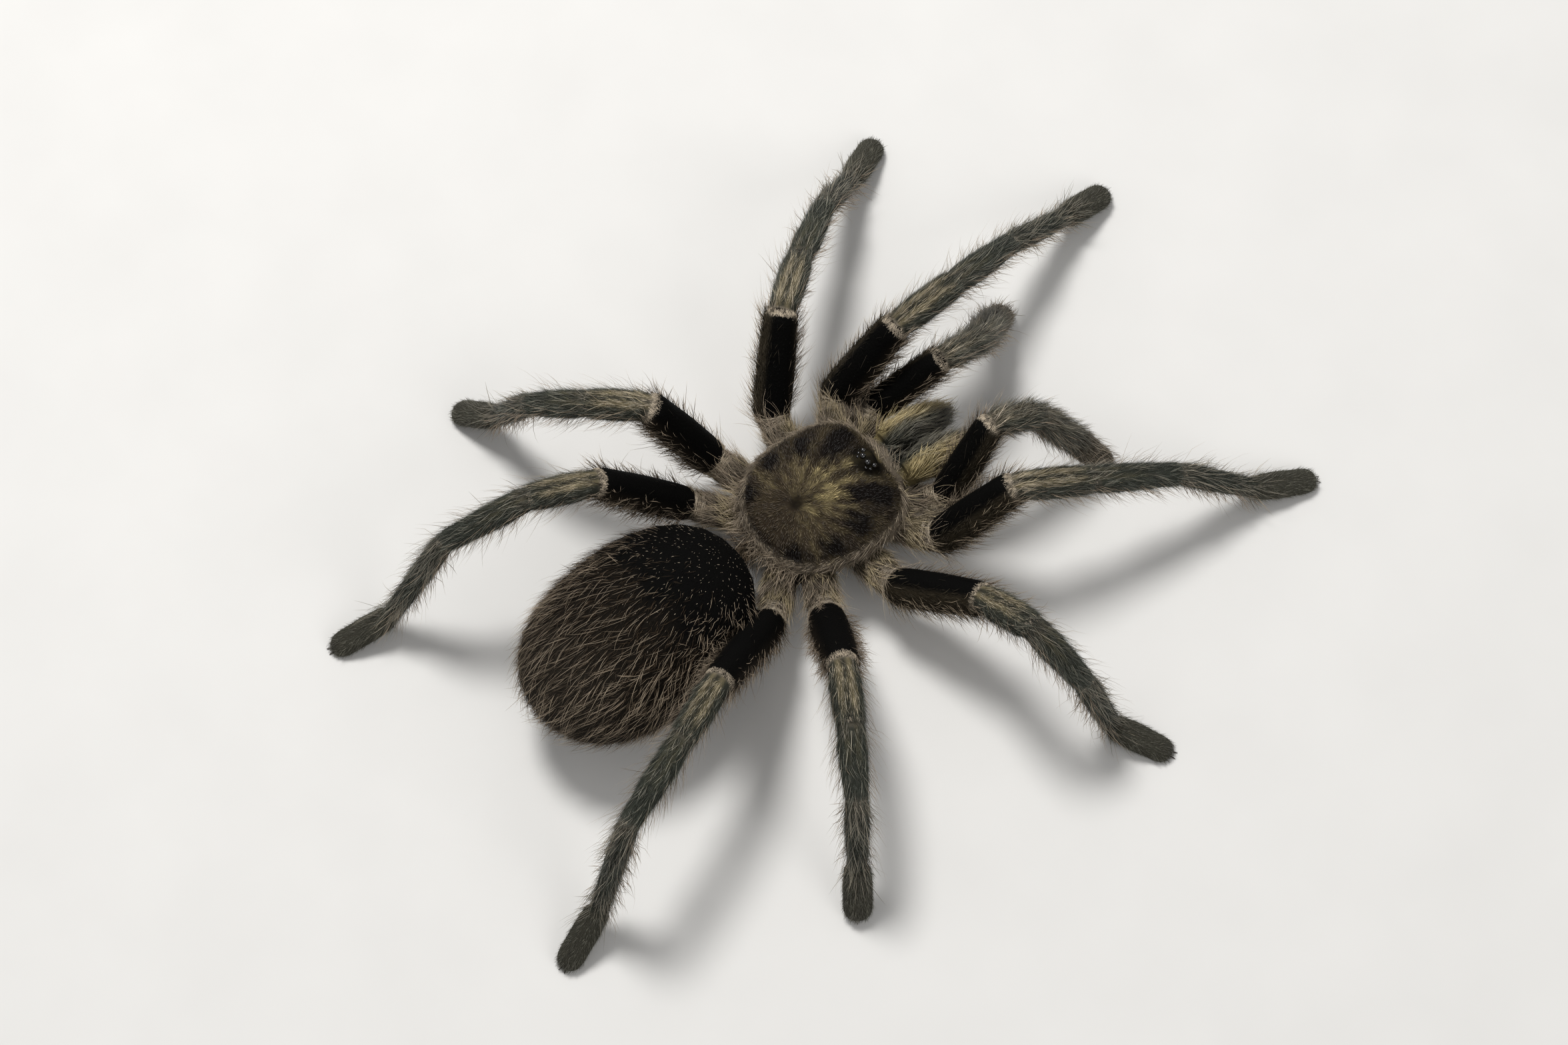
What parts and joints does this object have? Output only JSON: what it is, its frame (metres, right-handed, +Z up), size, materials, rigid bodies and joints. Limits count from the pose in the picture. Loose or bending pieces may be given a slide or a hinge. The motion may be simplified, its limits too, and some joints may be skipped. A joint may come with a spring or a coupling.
{
  "type": "tarantula",
  "caption": "Life-size still model of a dark hairy tarantula standing on splayed legs, with palps, jaws with folded fangs, an eye mound and a large oval abdomen.",
  "frame": {"origin": "on the floor, under the middle of the animal's whole footprint", "axes": "-Y towards the head, +X towards the animal's own left, +Z up from the floor"},
  "size_m": [0.096, 0.1228, 0.0247],
  "materials": {
    "carapace_hair": "short silky hair",
    "underside_hair": "shaggy hair",
    "jaw_hair": "dense golden and grey hair",
    "abdomen_hair": "black velvet hair with long pale hairs",
    "spinneret_hair": "short hair",
    "femur_velvet": "black velvet pile",
    "patella_hair": "grey hair with pale stripes",
    "tibia_hair": "grey hair with long bristles",
    "foot_hair": "dense grey pad hair",
    "eye_lens": "clear gloss",
    "fang_horn": "polished horn"
  },
  "bodies": {
    "root": {"abdomen": "abdomen_hair", "carapace": "carapace_hair", "chelicera_left": "jaw_hair", "chelicera_right": "jaw_hair", "eye_front_middle_left": "eye_lens", "eye_front_middle_right": "eye_lens", "eye_front_side_left": "eye_lens", "eye_front_side_right": "eye_lens", "eye_rear_middle_left": "eye_lens", "eye_rear_middle_right": "eye_lens", "eye_rear_side_left": "eye_lens", "eye_rear_side_right": "eye_lens", "fang_left": "fang_horn", "fang_right": "fang_horn", "leg1_left_femur": "femur_velvet", "leg1_left_foot": "foot_hair", "leg1_left_patella": "patella_hair", "leg1_left_tibia": "tibia_hair", "leg1_right_femur": "femur_velvet", "leg1_right_foot": "foot_hair", "leg1_right_patella": "patella_hair", "leg1_right_tibia": "tibia_hair", "leg2_left_femur": "femur_velvet", "leg2_left_foot": "foot_hair", "leg2_left_patella": "patella_hair", "leg2_left_tibia": "tibia_hair", "leg2_right_femur": "femur_velvet", "leg2_right_foot": "foot_hair", "leg2_right_patella": "patella_hair", "leg2_right_tibia": "tibia_hair", "leg3_left_femur": "femur_velvet", "leg3_left_foot": "foot_hair", "leg3_left_patella": "patella_hair", "leg3_left_tibia": "tibia_hair", "leg3_right_femur": "femur_velvet", "leg3_right_foot": "foot_hair", "leg3_right_patella": "patella_hair", "leg3_right_tibia": "tibia_hair", "leg4_left_femur": "femur_velvet", "leg4_left_foot": "foot_hair", "leg4_left_patella": "patella_hair", "leg4_left_tibia": "tibia_hair", "leg4_right_femur": "femur_velvet", "leg4_right_foot": "foot_hair", "leg4_right_patella": "patella_hair", "leg4_right_tibia": "tibia_hair", "palp_left_femur": "femur_velvet", "palp_left_patella": "patella_hair", "palp_left_tarsus": "foot_hair", "palp_left_tibia": "tibia_hair", "palp_right_femur": "femur_velvet", "palp_right_patella": "patella_hair", "palp_right_tarsus": "foot_hair", "palp_right_tibia": "tibia_hair", "pedicel": "underside_hair", "spinneret_left": "spinneret_hair", "spinneret_right": "spinneret_hair", "sternum_and_coxae": "underside_hair"}
  },
  "joints": []
}
